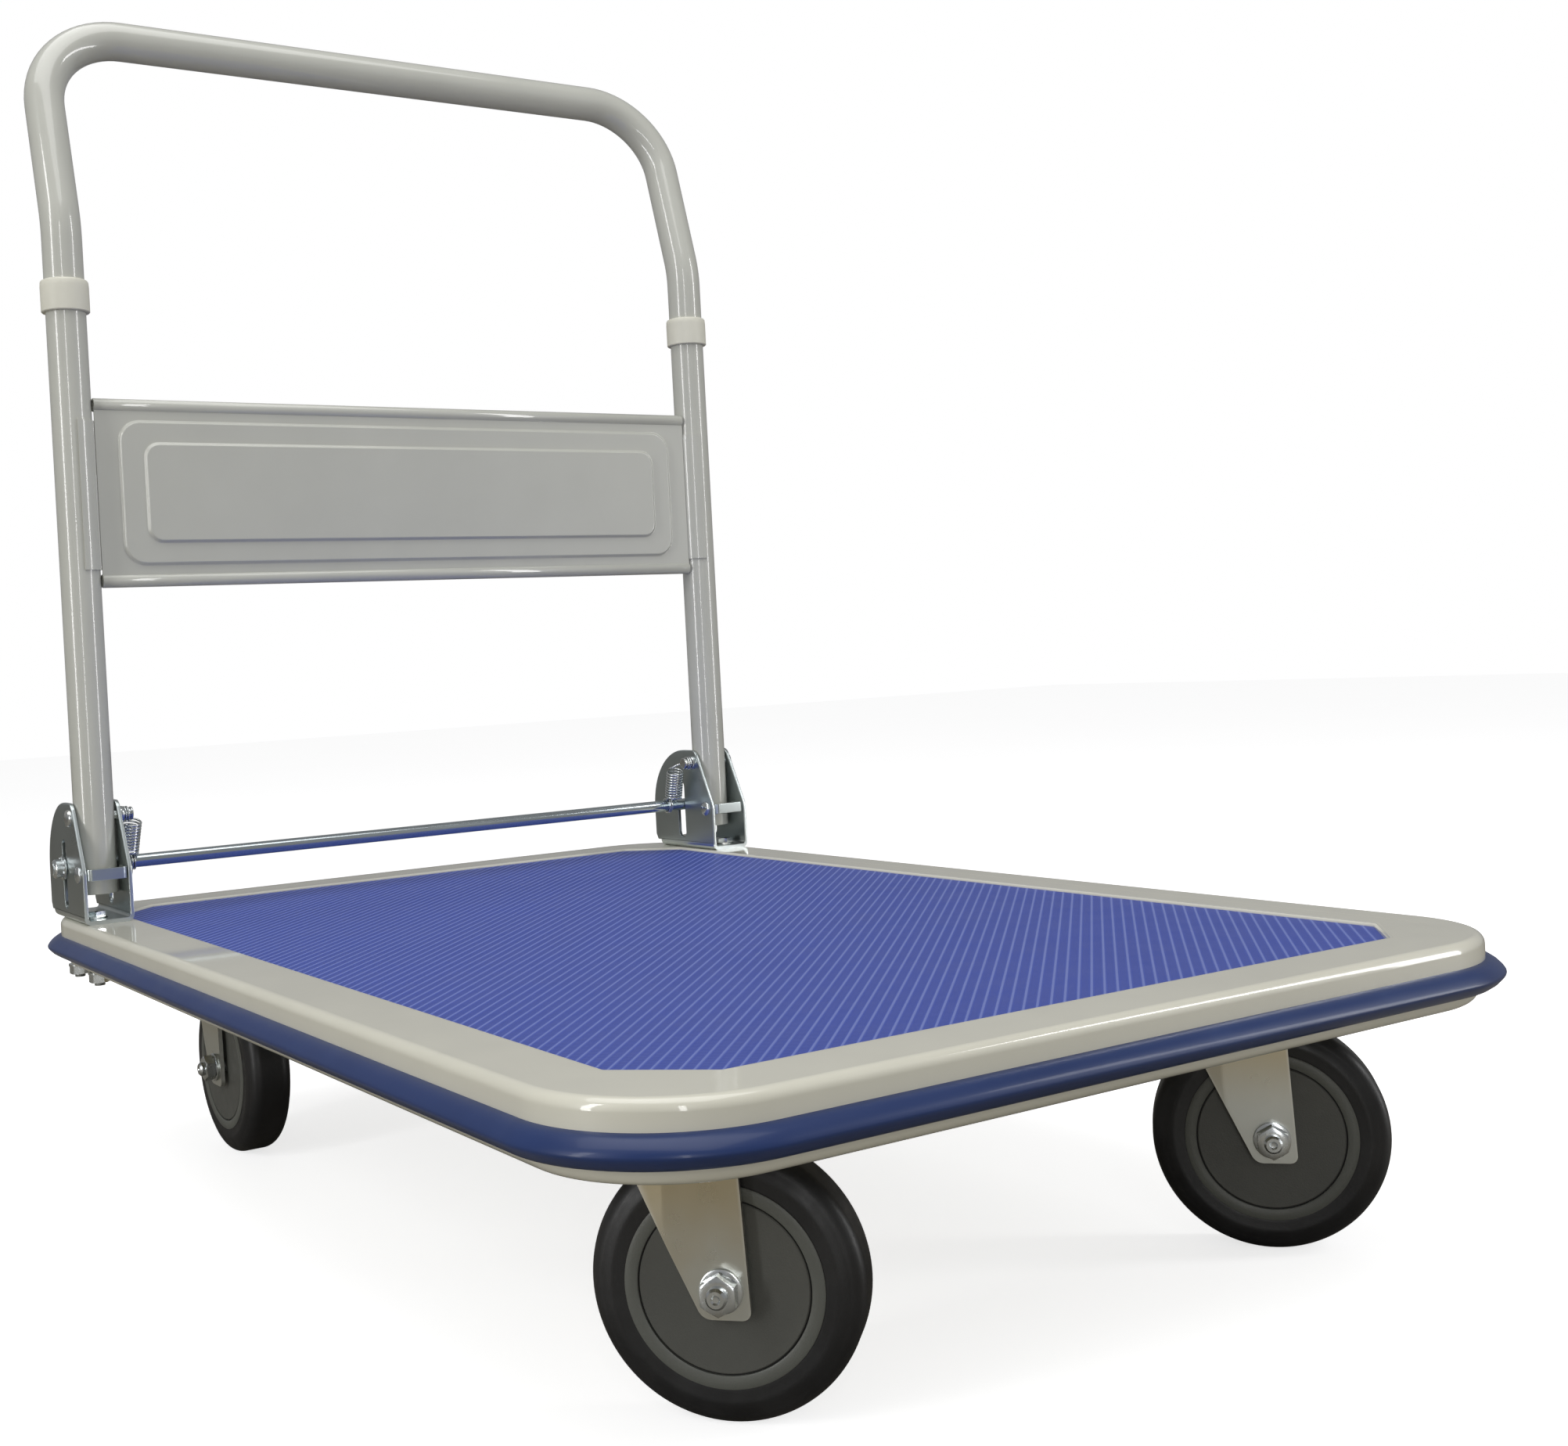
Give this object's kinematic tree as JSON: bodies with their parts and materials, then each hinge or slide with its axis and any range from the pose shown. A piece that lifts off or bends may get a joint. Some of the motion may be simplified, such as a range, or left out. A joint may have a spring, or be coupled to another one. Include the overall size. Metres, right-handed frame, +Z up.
{
  "type": "folding platform cart",
  "caption": "Flat pressed-steel platform cart with an anti-slip mat, a corner bumper strip, a tubular push handle that folds down over the deck, and fixed and swivel casters.",
  "frame": {"origin": "bottom centre of the bounding box, on the floor below the middle of the deck", "axes": "+X to the front of the cart, away from the handle, +Y to the right for someone who stands in front of the cart and faces the handle, +Z up; node names say left and right as that person sees them"},
  "size_m": [0.9, 0.6, 0.8553],
  "materials": {
    "pan_paint": "satin beige-grey powder coat",
    "handle_paint": "gloss grey enamel",
    "zinc": "bright zinc plating",
    "zinc_gold": "zinc plating with a faint golden tint",
    "mat_vinyl": "ribbed blue vinyl",
    "bumper_vinyl": "smooth blue vinyl",
    "collar_plastic": "off-white moulded plastic",
    "tyre_rubber": "black rubber",
    "hub_plastic": "dark grey moulded plastic"
  },
  "bodies": {
    "cart": {"deck_pan": "pan_paint", "anti_slip_mat": "mat_vinyl", "bumper_strip": "bumper_vinyl", "channel_front": "pan_paint", "channel_rear": "pan_paint", "corner_support_left": "pan_paint", "bracket_left": "zinc", "strap_left": "zinc", "strap_rivets_left": "zinc", "bracket_bolts_left": "zinc", "bracket_nuts_left": "zinc", "pivot_pin_left": "zinc", "corner_support_right": "pan_paint", "bracket_right": "zinc", "strap_right": "zinc", "strap_rivets_right": "zinc", "bracket_bolts_right": "zinc", "bracket_nuts_right": "zinc", "pivot_pin_right": "zinc", "caster_plate_front_left": "zinc_gold", "caster_bolts_front_left": "zinc", "caster_plate_front_right": "zinc_gold", "caster_bolts_front_right": "zinc", "caster_plate_rear_left": "zinc_gold", "caster_bolts_rear_left": "zinc", "caster_plate_rear_right": "zinc_gold", "caster_bolts_rear_right": "zinc", "fork_rear_left": "zinc_gold", "axle_rear_left": "zinc", "fork_rear_right": "zinc_gold", "axle_rear_right": "zinc"},
    "lock_rod": {"lock_rod": "zinc", "rod_caps": "zinc", "spring_left": "zinc", "spring_right": "zinc"},
    "handle": {"post_left": "handle_paint", "post_right": "handle_paint", "collar_left": "collar_plastic", "collar_right": "collar_plastic", "upper_loop": "handle_paint", "handle_panel": "handle_paint"},
    "swivel_fork_left": {"fork_front_left": "zinc_gold", "axle_front_left": "zinc"},
    "front_wheel_left": {"tyre_front_left": "tyre_rubber", "rim_front_left": "hub_plastic", "hub_covers_front_left": "hub_plastic"},
    "rear_wheel_left": {"tyre_rear_left": "tyre_rubber", "rim_rear_left": "hub_plastic", "hub_covers_rear_left": "hub_plastic"},
    "swivel_fork_right": {"fork_front_right": "zinc_gold", "axle_front_right": "zinc"},
    "front_wheel_right": {"tyre_front_right": "tyre_rubber", "rim_front_right": "hub_plastic", "hub_covers_front_right": "hub_plastic"},
    "rear_wheel_right": {"tyre_rear_right": "tyre_rubber", "rim_rear_right": "hub_plastic", "hub_covers_rear_right": "hub_plastic"}
  },
  "joints": [
    {"name": "handle_fold", "type": "hinge", "parent": "cart", "child": "handle", "pos_m": [-0.34, 0, 0.252], "axis": [0, 1, 0], "range_deg": [0, 97]},
    {"name": "lock_rod_slide", "type": "slide", "parent": "cart", "child": "lock_rod", "axis": [0, 0, -1], "range_m": [0, 0.0243], "deforming": ["spring_left", "spring_right"]},
    {"name": "front_left_swivel", "type": "hinge", "parent": "cart", "child": "swivel_fork_left", "pos_m": [0.317, -0.182, 0.15], "axis": [0, 0, 1], "continuous": true},
    {"name": "front_left_spin", "type": "hinge", "parent": "swivel_fork_left", "child": "front_wheel_left", "pos_m": [0.33006, -0.16961, 0.0635], "axis": [-0.6884, 0.7254, 0], "continuous": true},
    {"name": "rear_left_spin", "type": "hinge", "parent": "cart", "child": "rear_wheel_left", "pos_m": [-0.299, -0.182, 0.0635], "axis": [0, 1, 0], "continuous": true},
    {"name": "front_right_swivel", "type": "hinge", "parent": "cart", "child": "swivel_fork_right", "pos_m": [0.317, 0.182, 0.15], "axis": [0, 0, 1], "continuous": true},
    {"name": "front_right_spin", "type": "hinge", "parent": "swivel_fork_right", "child": "front_wheel_right", "pos_m": [0.33006, 0.19439, 0.0635], "axis": [-0.6884, 0.7254, 0], "continuous": true},
    {"name": "rear_right_spin", "type": "hinge", "parent": "cart", "child": "rear_wheel_right", "pos_m": [-0.299, 0.182, 0.0635], "axis": [0, 1, 0], "continuous": true}
  ],
  "couplings": [
    {"joint": "lock_rod_slide", "follows": "handle_fold", "m_per_rad": 0.014352}
  ]
}
